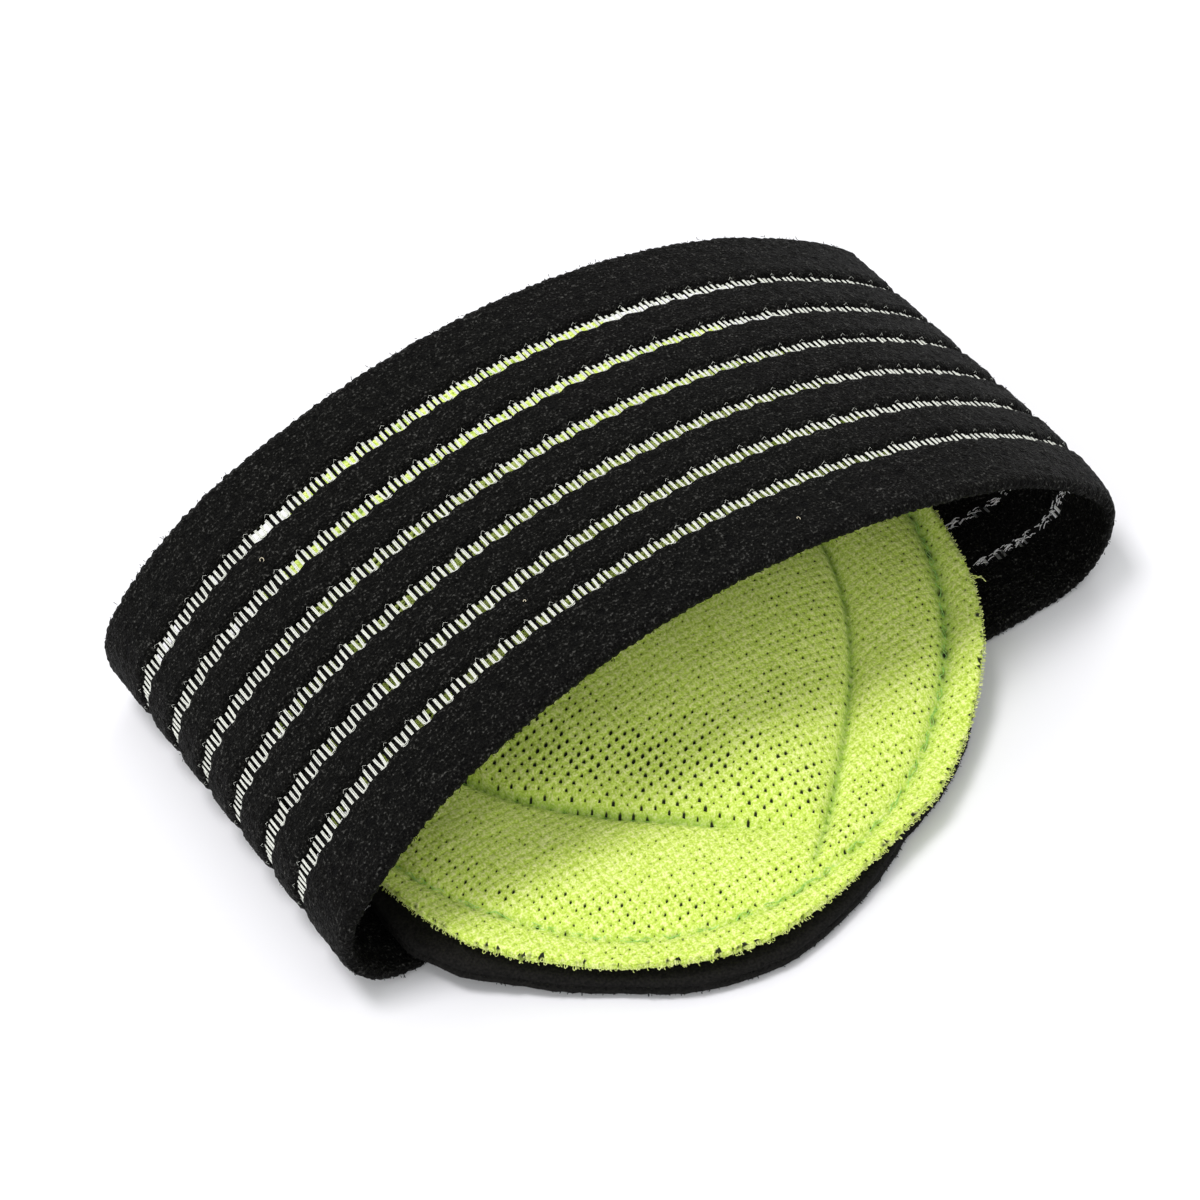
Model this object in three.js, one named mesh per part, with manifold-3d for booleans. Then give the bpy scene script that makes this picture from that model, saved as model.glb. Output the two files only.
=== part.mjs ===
// Arch support sleeve: an elastic tape sewn into a loop that goes round the middle of a foot,
// with an oval quilted cushion lying inside the loop, on its floor.
// Millimetres, +Z up. X runs across the loop from fold to fold, and Y along the foot.
// The origin is on the floor, under the middle of the loop. The toe end of the sleeve is at -Y.
import * as THREE from "three";
import { mergeVertices } from "three/addons/utils/BufferGeometryUtils.js";
import Module from "manifold-3d";

const wasm = await Module();
wasm.setup();

const degrees = THREE.MathUtils.degToRad;

// Driving dimensions of the loop, measured on its outside
const LOOP_LENGTH = 97; // fold to fold
const LOOP_HEIGHT = 30; // floor to crown
const FOLD_RADIUS = 7.9; // the bend where floor turns into flank
const FOLD_END = degrees(50); // lean of the tape where fold meets shoulder, from level
const CROWN_END = degrees(22); // lean of the tape where shoulder meets crown, from level

// Driving dimensions of the tape
const TAPE_WIDTH = 50;
const TAPE_THICKNESS = 1.5;
const LADDER_COUNT = 6; // open stripes, bridged by clear thread
const LADDER_PITCH = 6.37;
const LADDER_WIDTH = 2.1;
const LADDER_THICKNESS = 0.5; // the layer of thread that bridges a stripe
const STRIP_EDGE = 0.35; // rounding along each knitted strip

// Driving dimensions of the cushion
const SIDE_CLEARANCE = 6.7; // from the cushion's side to the inside of a fold
const OVERHANG = 20.1; // how far the cushion reaches past each edge of the tape
const CUSHION_SKEW = degrees(10); // the oval is cut this far askew of the tape
const COVER_THICKNESS = 1.3; // green mesh where it is stitched down
const BACKING_THICKNESS = 2.4; // black layer underneath
const BACKING_MARGIN = 0.9; // the black layer shows this far past the green one
const DOME_RISE = 5.2; // filled middle above the stitched seam round it
const DOME_SIDE_MARGIN = 13.3; // from the cushion's side to the dome's seam
const DOME_TIP_MARGIN = 8.6; // from the cushion's end to the dome's pointed tip
const DOME_FULLNESS = 1.6; // 1 gives the dome's outline straight sides, 2 gives it arched ones
const FLANGE_PUFF = 0.9; // padding between the dome's seam and the outer seam
const STITCH_MARGIN = 3.9; // from the cushion's edge to the outer seam
const RIM_FLARE = 0.5; // how far the loose edge of the green mesh lifts
const DROOP_START = 1.5; // how far past the tape's edge the overhang begins to sink
const DROOP_RUN = 12; // length over which it sinks to the floor

// Clearances and fineness
const LAYER_GAP = 0.3; // between two pieces that lie on each other
const ARC_FINENESS = 4;
const CUSHION_SEGMENTS = 72;

const tapeColour = new THREE.MeshStandardMaterial({
  name: "black_elastic",
  color: 0x141416,
  roughness: 0.95,
  metalness: 0,
});
const coverColour = new THREE.MeshStandardMaterial({
  name: "green_mesh",
  color: 0xb9dc50,
  roughness: 0.9,
  metalness: 0,
});
const backingColour = new THREE.MeshStandardMaterial({
  name: "black_backing",
  color: 0x18181a,
  roughness: 0.9,
  metalness: 0,
});

// The loop's outline is a floor line and five arcs that meet smoothly. Its crown and shoulder
// radii are whatever closes it at the wanted length and height.
function loopRadii() {
  const halfLength = LOOP_LENGTH / 2;
  const [sinCrown, cosCrown] = [Math.sin(CROWN_END), Math.cos(CROWN_END)];
  const [sinFold, cosFold] = [Math.sin(FOLD_END), Math.cos(FOLD_END)];
  const rise = LOOP_HEIGHT - FOLD_RADIUS * (1 + cosFold);
  const reach = halfLength - FOLD_RADIUS * (1 - sinFold);
  // (1 - cosCrown) crown + (cosCrown - cosFold) shoulder = rise
  // sinCrown crown + (sinFold - sinCrown) shoulder = reach
  const determinant = (1 - cosCrown) * (sinFold - sinCrown) - (cosCrown - cosFold) * sinCrown;
  const crown = (rise * (sinFold - sinCrown) - (cosCrown - cosFold) * reach) / determinant;
  const shoulder = ((1 - cosCrown) * reach - sinCrown * rise) / determinant;
  return { crown, shoulder };
}

// The outline in the XZ plane, moved inwards by inset. Three.js shapes are drawn in X and Y,
// so the loop's height is the shape's Y.
function loopPath(path, inset) {
  const { crown, shoulder } = loopRadii();
  const up = Math.PI / 2;
  const crownCentre = LOOP_HEIGHT - crown;
  const shoulderX = (crown - shoulder) * Math.sin(CROWN_END);
  const shoulderY = crownCentre + (crown - shoulder) * Math.cos(CROWN_END);
  const foldX = LOOP_LENGTH / 2 - FOLD_RADIUS;
  path.moveTo(-foldX, inset);
  path.lineTo(foldX, inset);
  path.absarc(foldX, FOLD_RADIUS, FOLD_RADIUS - inset, -up, up - FOLD_END);
  path.absarc(shoulderX, shoulderY, shoulder - inset, up - FOLD_END, up - CROWN_END);
  path.absarc(0, crownCentre, crown - inset, up - CROWN_END, up + CROWN_END);
  path.absarc(-shoulderX, shoulderY, shoulder - inset, up + CROWN_END, up + FOLD_END);
  path.absarc(-foldX, FOLD_RADIUS, FOLD_RADIUS - inset, up + FOLD_END, 3 * up);
  return path;
}

// A closed ring of tape between two insets, from y = from to y = to
function ring(outerInset, innerInset, from, to, rounding) {
  const shape = loopPath(new THREE.Shape(), outerInset);
  shape.holes.push(loopPath(new THREE.Path(), innerInset));
  const geometry = new THREE.ExtrudeGeometry(shape, {
    depth: to - from - 2 * rounding,
    curveSegments: ARC_FINENESS,
    bevelEnabled: rounding > 0,
    bevelThickness: rounding,
    bevelSize: rounding,
    bevelOffset: -rounding,
    bevelSegments: 1,
  });
  geometry.rotateX(Math.PI / 2);
  return geometry.translate(0, to - rounding, 0);
}

function toSolid(geometry) {
  geometry.deleteAttribute("normal");
  geometry.deleteAttribute("uv");
  const merged = mergeVertices(geometry, 1e-3);
  return new wasm.Manifold(
    new wasm.Mesh({
      numProp: 3,
      vertProperties: merged.attributes.position.array,
      triVerts: new Uint32Array(merged.index.array),
    }),
  );
}

function toGeometry(solid) {
  const mesh = solid.getMesh();
  const geometry = new THREE.BufferGeometry();
  geometry.setAttribute("position", new THREE.BufferAttribute(mesh.vertProperties, 3));
  geometry.setIndex(new THREE.BufferAttribute(mesh.triVerts, 1));
  geometry.computeVertexNormals();
  return geometry;
}

// The tape is thick knitted strips on one thin layer of thread, which shows between them.
function elasticBand() {
  const edge = TAPE_WIDTH / 2;
  const recess = (TAPE_THICKNESS - LADDER_THICKNESS) / 2;
  const layer = ring(recess, TAPE_THICKNESS - recess, STRIP_EDGE - edge, edge - STRIP_EDGE, 0);
  let band = toSolid(layer);
  let from = -edge;
  for (let i = 0; i <= LADDER_COUNT; i++) {
    const ladder = (i - (LADDER_COUNT - 1) / 2) * LADDER_PITCH;
    const to = i < LADDER_COUNT ? ladder - LADDER_WIDTH / 2 : edge;
    band = band.add(toSolid(ring(0, TAPE_THICKNESS, from, to, STRIP_EDGE)));
    from = ladder + LADDER_WIDTH / 2;
  }
  return toGeometry(band);
}

// How far the cushion's oval edge, drawn in by margin, lies from the middle at an angle
function ovalReach(angle, margin) {
  const x = Math.cos(angle) / (LOOP_LENGTH / 2 - TAPE_THICKNESS - SIDE_CLEARANCE - margin);
  const y = Math.sin(angle) / (TAPE_WIDTH / 2 + OVERHANG - margin);
  const skew = 2 * Math.sin(CUSHION_SKEW) * x * y;
  return Math.cos(CUSHION_SKEW) / Math.sqrt(x * x + y * y - skew);
}

// How far the dome's seam lies from the middle at an angle: a lens with a tip at each end,
// found by halving because its outline has no direct formula in these terms
function domeReach(angle) {
  const side = LOOP_LENGTH / 2 - TAPE_THICKNESS - SIDE_CLEARANCE - DOME_SIDE_MARGIN;
  const tip = TAPE_WIDTH / 2 + OVERHANG - DOME_TIP_MARGIN;
  let [inside, outside] = [0, side + tip];
  for (let i = 0; i < 40; i++) {
    const reach = (inside + outside) / 2;
    const across = Math.abs(reach * Math.cos(angle)) / side;
    const along = Math.abs(reach * Math.sin(angle)) / tip;
    if (across + along ** DOME_FULLNESS < 1) inside = reach;
    else outside = reach;
  }
  return inside;
}

// Height of the cushion's underside: on the tape inside the loop, and sinking to the floor past it
function undersideHeight(y) {
  const past = (Math.abs(y) - TAPE_WIDTH / 2 - DROOP_START) / DROOP_RUN;
  const sunk = THREE.MathUtils.smoothstep(past, 0, 1);
  return (TAPE_THICKNESS + LAYER_GAP) * (1 - sunk);
}

// A closed solid of rings round the cushion's middle. Each ring says how far out it lies at an
// angle and how high it is above the cushion's underside, from the middle of the base, out round
// the edge, to the middle of the top.
function layerOf(rings) {
  const profile = rings.map((ring, i) => {
    const onAxis = i === 0 || i === rings.length - 1;
    return new THREE.Vector2(onAxis ? 0 : 1, i);
  });
  const geometry = new THREE.LatheGeometry(profile, CUSHION_SEGMENTS);
  const position = geometry.attributes.position;
  for (let i = 0; i < position.count; i++) {
    const angle = (2 * Math.PI * Math.floor(i / rings.length)) / CUSHION_SEGMENTS;
    const { reach, height } = rings[i % rings.length];
    const out = reach(angle % (2 * Math.PI));
    const x = out * Math.cos(angle);
    const y = out * Math.sin(angle);
    position.setXYZ(i, x, y, undersideHeight(y) + height);
  }
  return geometry;
}

const atMiddle = () => 0;
const shareOfDome = (share) => (angle) => share * domeReach(angle);
const shareOfOval = (share) => (angle) => share * ovalReach(angle, STITCH_MARGIN);
const shareOfFlange = (share) => (angle) =>
  (1 - share) * domeReach(angle) + share * ovalReach(angle, STITCH_MARGIN);
const insideEdge = (margin) => (angle) => ovalReach(angle, margin);

// Where each ring of the dome lies, from its seam to its middle, and how much of the rise it has
const DOME_SECTION = [
  { share: 0.94, rise: 0.24 },
  { share: 0.85, rise: 0.47 },
  { share: 0.7, rise: 0.71 },
  { share: 0.48, rise: 0.89 },
  { share: 0.25, rise: 0.98 },
];

// Where each ring of the flange lies, from the outer seam to the dome's, and how full it is there
const FLANGE_SECTION = [
  { share: 0.85, puff: 0.65 },
  { share: 0.5, puff: 1 },
  { share: 0.15, puff: 0.65 },
];

// Where the rings of a flat underside lie, from its middle to the outer seam. They are close
// enough together out there to follow the droop.
const FLAT_SHARES = [0.3, 0.5, 0.62, 0.74, 0.87, 1];

function flatRings(height) {
  return FLAT_SHARES.map((share) => ({ reach: shareOfOval(share), height }));
}

// Black layer: a flat oval with a rounded edge
function cushionBacking() {
  const round = BACKING_THICKNESS / 4;
  return layerOf([
    { reach: atMiddle, height: 0 },
    ...flatRings(0),
    { reach: insideEdge(round - BACKING_MARGIN), height: 0 },
    { reach: insideEdge(-BACKING_MARGIN), height: round },
    { reach: insideEdge(-BACKING_MARGIN), height: BACKING_THICKNESS - round },
    { reach: insideEdge(round - BACKING_MARGIN), height: BACKING_THICKNESS },
    ...flatRings(BACKING_THICKNESS).reverse(),
    { reach: atMiddle, height: BACKING_THICKNESS },
  ]);
}

// Green mesh and its filling: a dome in the middle, a softer flange round it, and a loose edge
function cushionCover() {
  const base = BACKING_THICKNESS + LAYER_GAP;
  const top = base + COVER_THICKNESS;
  return layerOf([
    { reach: atMiddle, height: base },
    ...flatRings(base),
    { reach: insideEdge(0), height: base + RIM_FLARE },
    { reach: insideEdge(0), height: top + RIM_FLARE },
    { reach: insideEdge(STITCH_MARGIN), height: top },
    ...FLANGE_SECTION.map(({ share, puff }) => ({
      reach: shareOfFlange(share),
      height: top + puff * FLANGE_PUFF,
    })),
    { reach: shareOfDome(1), height: top },
    ...DOME_SECTION.map(({ share, rise }) => ({
      reach: shareOfDome(share),
      height: top + rise * DOME_RISE,
    })),
    { reach: atMiddle, height: top + DOME_RISE },
  ]);
}

function piece(name, geometry, material) {
  const mesh = new THREE.Mesh(geometry, material);
  mesh.name = name;
  return mesh;
}

const sleeve = new THREE.Group();
sleeve.add(piece("elastic_band", elasticBand(), tapeColour));
sleeve.add(piece("cushion_backing", cushionBacking(), backingColour));
sleeve.add(piece("cushion_cover", cushionCover(), coverColour));

export default sleeve;
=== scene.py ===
import math
import random

import bmesh
import bpy
import numpy as np
from mathutils import Matrix, Vector, noise


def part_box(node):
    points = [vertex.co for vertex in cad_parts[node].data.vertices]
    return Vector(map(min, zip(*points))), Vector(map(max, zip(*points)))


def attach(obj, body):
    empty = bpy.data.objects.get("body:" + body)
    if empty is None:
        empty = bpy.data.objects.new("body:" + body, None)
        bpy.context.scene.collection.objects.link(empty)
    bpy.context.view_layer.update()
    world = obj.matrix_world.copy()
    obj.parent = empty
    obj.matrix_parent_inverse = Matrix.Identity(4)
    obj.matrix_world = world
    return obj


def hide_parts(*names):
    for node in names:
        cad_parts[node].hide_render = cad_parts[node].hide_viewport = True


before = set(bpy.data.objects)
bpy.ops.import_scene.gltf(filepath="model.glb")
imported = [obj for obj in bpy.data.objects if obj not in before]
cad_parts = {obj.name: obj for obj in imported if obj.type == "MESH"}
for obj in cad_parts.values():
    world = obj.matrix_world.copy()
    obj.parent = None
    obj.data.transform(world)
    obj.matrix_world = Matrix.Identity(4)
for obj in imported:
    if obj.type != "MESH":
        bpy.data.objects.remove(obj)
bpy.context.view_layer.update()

MM = 0.001

# Camera
# It stands in front of the sleeve and to its left, and looks down over the arch into the loop's
# mouth. The photo is tipped a little, which the roll repeats.
CAMERA_PLACE = Vector((-111.15, -177.82, 228.06)) * MM
CAMERA_AZIMUTH = math.radians(-31.56)
CAMERA_ELEVATION = math.radians(46.63)
CAMERA_ROLL = math.radians(-4.10)
CAMERA_LENS_MM = 85.58
SENSOR_MM = 36.0


def put(name, data):
    """A new object in the scene, at the origin."""
    made = bpy.data.objects.new(name, data)
    bpy.context.collection.objects.link(made)
    return made


def camera_axes():
    """The camera's right, up and backward directions."""
    backward = Vector((
        math.sin(CAMERA_AZIMUTH) * math.cos(CAMERA_ELEVATION),
        -math.cos(CAMERA_AZIMUTH) * math.cos(CAMERA_ELEVATION),
        math.sin(CAMERA_ELEVATION),
    ))
    level_right = (-backward).cross(Vector((0, 0, 1))).normalized()
    level_up = level_right.cross(-backward)
    right = level_right * math.cos(CAMERA_ROLL) + level_up * math.sin(CAMERA_ROLL)
    return right, backward.cross(right), backward


camera_data = bpy.data.cameras.new("camera")
camera_data.lens = CAMERA_LENS_MM
camera_data.sensor_width = SENSOR_MM
camera_data.clip_start = 0.01
camera = put("camera", camera_data)
camera.matrix_world = Matrix.Translation(CAMERA_PLACE) @ Matrix(camera_axes()).transposed().to_4x4()
bpy.context.scene.camera = camera
bpy.context.scene.view_settings.view_transform = "Standard"

# Floor
# A sheet of plain white paper that the sleeve lies on.
FLOOR_SIZE = 6.0
PAPER_WHITE = "#e5e6e8"


def linear(hex_colour):
    """An sRGB hex colour as the linear RGBA that shaders take."""
    parts = [int(hex_colour[i:i + 2], 16) / 255 for i in (1, 3, 5)]
    return [p / 12.92 if p <= 0.04045 else ((p + 0.055) / 1.055) ** 2.4 for p in parts] + [1.0]


def add_node(material, kind, settings=None, **links):
    """Adds a shader node. Settings are its properties or its inputs' values, and links name the
    inputs that other nodes' outputs feed."""
    node = material.node_tree.nodes.new("ShaderNode" + kind)
    for name, value in (settings or {}).items():
        if name in node.inputs:
            node.inputs[name].default_value = value
        else:
            setattr(node, name, value)
    for name, output in links.items():
        link(output, node.inputs[name.replace("_", " ")])
    return node


def new_material(name, **values):
    """A material with a Principled shader whose inputs have the given constant values."""
    material = bpy.data.materials.new(name)
    material.use_nodes = True
    shader = material.node_tree.nodes["Principled BSDF"]
    for key, value in values.items():
        shader.inputs[key.replace("_", " ")].default_value = value
    return material, shader


def link(output, shader_input):
    shader_input.id_data.links.new(output, shader_input)


def add_math(material, operation, *values):
    """Adds a math node. Its values are numbers or other nodes' outputs."""
    node = add_node(material, "Math", {"operation": operation})
    for socket, value in zip(node.inputs, values):
        if isinstance(value, (int, float)):
            socket.default_value = value
        else:
            link(value, socket)
    return node.outputs[0]


def add_noise(material, size_mm, detail=2.0):
    """Adds noise in the object's own space, whose lumps are about so many millimetres."""
    place = add_node(material, "TexCoord").outputs["Object"]
    settings = {"Scale": 1 / (size_mm * MM), "Detail": detail}
    return add_node(material, "TexNoise", settings, Vector=place).outputs["Fac"]


def add_tones(material, value, tones):
    """Adds a colour ramp over a value. Tones are pairs of a place on it and a hex colour."""
    node = add_node(material, "ValToRGB", Fac=value)
    elements = node.color_ramp.elements
    elements[0].position, elements[1].position = tones[0][0], tones[-1][0]
    elements[0].color, elements[1].color = linear(tones[0][1]), linear(tones[-1][1])
    for position, colour in tones[1:-1]:
        elements.new(position).color = linear(colour)
    return node.outputs["Color"]


def add_bump(material, shader, height, strength, distance_mm):
    """Lets a height bend the shader's normals."""
    settings = {"Strength": strength, "Distance": distance_mm * MM}
    bump = add_node(material, "Bump", settings, Height=height)
    link(bump.outputs["Normal"], shader.inputs["Normal"])


def mottled(name, size_mm, tones, **values):
    """A material whose colour changes softly from place to place, between some tones."""
    material, shader = new_material(name, **values)
    link(add_tones(material, add_noise(material, size_mm), tones), shader.inputs["Base Color"])
    return material


def white_paper():
    """Uncoated paper: even, matt and nearly white."""
    colour = linear(PAPER_WHITE)
    return new_material("white_paper", Base_Color=colour, Roughness=0.9, Specular_IOR_Level=0.2)[0]


def finish_piece(name, mesh, material):
    """Puts a finished mesh in the scene as a piece of the sleeve's one body."""
    mesh.name = name
    piece = put(name, mesh)
    mesh.materials.clear()
    mesh.materials.append(material)
    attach(piece, "root")
    return piece


def mesh_from(bm, smooth=True):
    """Turns a bmesh into a mesh and frees it."""
    for face in bm.faces:
        face.smooth = smooth
    mesh = bpy.data.meshes.new("mesh")
    bm.to_mesh(mesh)
    bm.free()
    return mesh


def lay_floor():
    bm = bmesh.new()
    bmesh.ops.create_grid(bm, x_segments=1, y_segments=1, size=FLOOR_SIZE / 2)
    mesh = mesh_from(bm, smooth=False)
    mesh.materials.append(white_paper())
    put("floor", mesh)


lay_floor()

# Light
# A white studio: light from all round, a soft box overhead, and weak ones on the left and behind on
# the right. The one overhead is a trace less green than white.
ROOM_LIGHT = 0.86
SOFT_BOXES = [
    {"name": "above", "place": (-0.22, 0.12, 0.79), "size": 0.24, "watts": 3.8, "colour": (1, 0.97, 1)},
    {"name": "left", "place": (-0.60, -0.30, 0.50), "size": 0.30, "watts": 0.9, "colour": (1, 1, 1)},
    {"name": "behind", "place": (0.45, 0.45, 0.50), "size": 0.25, "watts": 0.7, "colour": (1, 1, 1)},
]


def hang_soft_box(name, place, size, watts, colour):
    """An area light that faces the sleeve."""
    data = bpy.data.lights.new(name, "AREA")
    data.size = size
    data.energy = watts
    data.color = colour
    box = put(name, data)
    box.location = place
    box.rotation_euler = (-Vector(place)).to_track_quat("-Z", "Y").to_euler()


for soft_box in SOFT_BOXES:
    hang_soft_box(**soft_box)
world = bpy.data.worlds.new("white_studio")
world.use_nodes = True
backdrop = world.node_tree.nodes["Background"]
backdrop.inputs["Color"].default_value = (1, 1, 1, 1)
backdrop.inputs["Strength"].default_value = ROOM_LIGHT
bpy.context.scene.world = world

# Elastic tape
# Seven strips of black covered rubber, knitted with a rough looped face, run along the tape. Clear
# thread bridges the open ladders between them. The tape is closed into a loop that bulges up.
tape_high = Vector(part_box("elastic_band")[1])
HALF_LENGTH = 48.5 * MM
LOOP_HEIGHT = tape_high.z
FOLD_RADIUS = 7.9 * MM
FOLD_END = math.radians(50)
CROWN_END = math.radians(22)
TAPE_EDGE = tape_high.y
TAPE_THICKNESS = 1.5 * MM
LADDER_COUNT = 6
LADDER_PITCH = 6.37 * MM
LADDER_HALF_WIDTH = 0.92 * MM
LADDER_STRETCH = 0.13 * MM
SCALLOP_PITCH = 3.0 * MM
RUNGS_PER_SCALLOP = 4
STEPS_PER_SCALLOP = 9
HUMP_RISE = 0.36 * MM
LOBE_SAG = 0.24 * MM
EDGE_BUMP = 0.17 * MM
EDGE_KNOBS = 3
RELIEF = 0.14 * MM
LUMPS_PER_MM = 1.3
STITCH_LEAN = 2.1 * MM
WAVER = 0.10 * MM
FACE_STEPS = 7
OUTER_FACE_STEPS = 14
WELD_GAP = 0.002 * MM


def loop_radii():
    """The shoulder's and crown's radii, which close the loop at its length and height."""
    sin_crown, cos_crown = math.sin(CROWN_END), math.cos(CROWN_END)
    sin_fold, cos_fold = math.sin(FOLD_END), math.cos(FOLD_END)
    rise = LOOP_HEIGHT - FOLD_RADIUS * (1 + cos_fold)
    reach = HALF_LENGTH - FOLD_RADIUS * (1 - sin_fold)
    determinant = (1 - cos_crown) * (sin_fold - sin_crown) - (cos_crown - cos_fold) * sin_crown
    crown = (rise * (sin_fold - sin_crown) - (cos_crown - cos_fold) * reach) / determinant
    shoulder = ((1 - cos_crown) * reach - sin_crown * rise) / determinant
    return shoulder, crown


SHOULDER_RADIUS, CROWN_RADIUS = loop_radii()
FLOOR_RUN = 2 * (HALF_LENGTH - FOLD_RADIUS)
# The loop's outside, from the middle of its floor to the right and round. A radius of 0 is a
# straight run, whose turn is its length.
RIGHT_RUNS = [
    {"radius": 0, "turn": FLOOR_RUN / 2},
    {"radius": FOLD_RADIUS, "turn": math.pi - FOLD_END},
    {"radius": SHOULDER_RADIUS, "turn": FOLD_END - CROWN_END},
]
LOOP_RUNS = RIGHT_RUNS + [{"radius": CROWN_RADIUS, "turn": 2 * CROWN_END}] + RIGHT_RUNS[::-1]
LOOP_GIRTH = sum((run["radius"] or 1) * run["turn"] for run in LOOP_RUNS)
SCALLOPS = round(LOOP_GIRTH / SCALLOP_PITCH)
SCALLOP = LOOP_GIRTH / SCALLOPS

# The right fold is slack: it lies further out behind its front rim. The front rim is drawn back on
# the left of the crown.
FOLD_SHIFT = 4.7 * MM
FOLD_LIFT = 1.2 * MM
SHIFT_SPAN = {"start": 18 * MM, "full": 40 * MM, "last": 47 * MM, "end": 73 * MM}
CURL_WIDTH = 4 * MM
RIM_PULL = 1.4 * MM
PULL_MIDDLE = 126 * MM
PULL_REACH = 32 * MM
PULL_START = -12 * MM
LIFT_HEIGHT = 20 * MM


def ease(share):
    """A share that starts and ends its way from 0 to 1 gently."""
    share = min(max(share, 0.0), 1.0)
    return share * share * (3 - 2 * share)


def fold_slack(along, across):
    """How slack the right fold is, from 0 at its ends and its front rim to 1 at its back rim."""
    rise = ease((along - SHIFT_SPAN["start"]) / (SHIFT_SPAN["full"] - SHIFT_SPAN["start"]))
    fall = ease((SHIFT_SPAN["end"] - along) / (SHIFT_SPAN["end"] - SHIFT_SPAN["last"]))
    behind = max(across + TAPE_EDGE, 0.0)
    curl = 0.55 * (1 - math.exp(-behind / CURL_WIDTH)) + 0.45 * behind / (2 * TAPE_EDGE)
    return rise * fall * curl


def rim_pull(along, across):
    """How far the front rim is drawn back, most of it near the rim itself."""
    share = min(max((PULL_START - across) / (PULL_START + TAPE_EDGE), 0.0), 1.0)
    return RIM_PULL * math.sqrt(share) * math.exp(-((along - PULL_MIDDLE) / PULL_REACH) ** 2)


def loop_place(along, across, depth):
    """The point of the tape at a distance along its outside, a place across it and a depth."""
    along %= LOOP_GIRTH
    slack = fold_slack(along, across)
    across += rim_pull(along, across)
    x, z, heading = 0.0, 0.0, 0.0
    for run in LOOP_RUNS:
        length = (run["radius"] or 1) * run["turn"]
        step = min(along, length)
        if run["radius"]:
            turned = step / run["radius"]
            x += run["radius"] * (math.sin(heading + turned) - math.sin(heading))
            z += run["radius"] * (math.cos(heading) - math.cos(heading + turned))
            heading += turned
        else:
            x += step * math.cos(heading)
            z += step * math.sin(heading)
        along -= step
        if along <= 0:
            break
    x += FOLD_SHIFT * slack
    z += FOLD_LIFT * slack * min(z / LIFT_HEIGHT, 1)
    return Vector((x - depth * math.sin(heading), across, z + depth * math.cos(heading)))


def ladder_middle(i):
    """The middle of ladder i across the tape."""
    return (i - (LADDER_COUNT - 1) / 2) * LADDER_PITCH


def waver(along, seed):
    """A slow random wander of a knitted edge, which closes round the loop."""
    angle = 2 * math.pi * along / LOOP_GIRTH
    point = Vector((40 * math.cos(angle), 40 * math.sin(angle), seed))
    return WAVER * noise.noise(point)


def ladder_reach(along):
    """Half a ladder's width, which is more over the left fold and less over the right one."""
    return LADDER_HALF_WIDTH - LADDER_STRETCH * math.sin(2 * math.pi * along / LOOP_GIRTH)


def front_edge(i, along):
    """The front side of ladder i, where the strip before it swells into humps."""
    hump = abs(math.cos(math.pi * along / SCALLOP))
    return ladder_middle(i) - ladder_reach(along) + HUMP_RISE * hump + waver(along, 7.3 * i)


def back_edge(i, along):
    """The back side of ladder i, where the strip behind it hangs down in lobes."""
    lobe = abs(math.sin(math.pi * along / SCALLOP))
    return ladder_middle(i) + ladder_reach(along) - LOBE_SAG * lobe + waver(along, 7.3 * i + 3)


def selvedge(along, side):
    """An outer edge of the tape, where each turn of the weft makes a knob."""
    knob = abs(math.sin(EDGE_KNOBS * math.pi * along / SCALLOP))
    return side * (TAPE_EDGE - EDGE_BUMP * (1.6 - knob)) + 1.7 * waver(along, 91 * side)


def strip_section(width, face_steps):
    """The points round a strip, as shares across it and depths: over its outside, round its
    back edge, under its inside and round its front edge."""
    radius = TAPE_THICKNESS / 2
    end = radius / width
    section = []
    for i in range(face_steps + 1):
        section.append((end + (1 - 2 * end) * i / face_steps, 0.0))
    turns = [math.radians(angle) for angle in (45, 90, 135)]
    for a in turns:
        section.append((1 - end + end * math.sin(a), radius - radius * math.cos(a)))
    inner_steps = max(2, face_steps // 2)
    for i in range(inner_steps + 1):
        section.append((1 - end - (1 - 2 * end) * i / inner_steps, TAPE_THICKNESS))
    for a in reversed(turns):
        section.append((end - end * math.sin(a), radius - radius * math.cos(a)))
    section.append(section[0])
    return section


def knit_relief(along, across):
    """How far the looped face stands above its ground: lumps, and stitches lying aslant."""
    angle = 2 * math.pi * along / LOOP_GIRTH
    around = LOOP_GIRTH / (2 * math.pi) / MM
    place = Vector((around * math.cos(angle), around * math.sin(angle), across / MM))
    lumps = noise.noise(place * LUMPS_PER_MM)
    slant = math.sin(2 * math.pi * (2 * along / SCALLOP + across / STITCH_LEAN))
    return RELIEF * (0.9 * lumps + 0.35 * slant)


def strip_sides(i, along):
    """The front and back sides of strip i: an outer edge of the tape, or the side of a ladder."""
    front = selvedge(along, -1) if i == 0 else back_edge(i - 1, along)
    return front, selvedge(along, 1) if i == LADDER_COUNT else front_edge(i, along)


def add_strip(bm, uv, i, face_steps):
    """One strip: a sheet of quads rolled round its section and round the loop."""
    front, back = strip_sides(i, 0)
    section = strip_section(back - front, face_steps)
    around = SCALLOPS * STEPS_PER_SCALLOP
    sides = len(section) - 1
    made = bmesh.ops.create_grid(bm, x_segments=around, y_segments=sides, size=1)["verts"]
    spots = {}
    for vert in made:
        along = (vert.co.x + 1) / 2 * LOOP_GIRTH
        share, depth = section[round((vert.co.y + 1) / 2 * sides)]
        low, high = strip_sides(i, along)
        across = low + (high - low) * share
        outside = 1 - 2 * depth / TAPE_THICKNESS
        spots[vert] = (along, across)
        vert.co = loop_place(along, across, depth - outside * knit_relief(along, across))
        vert.co.z = max(vert.co.z, 0.0)
    for face in {face for vert in made for face in vert.link_faces}:
        for corner in face.loops:
            corner[uv].uv = spots[corner.vert]


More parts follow.
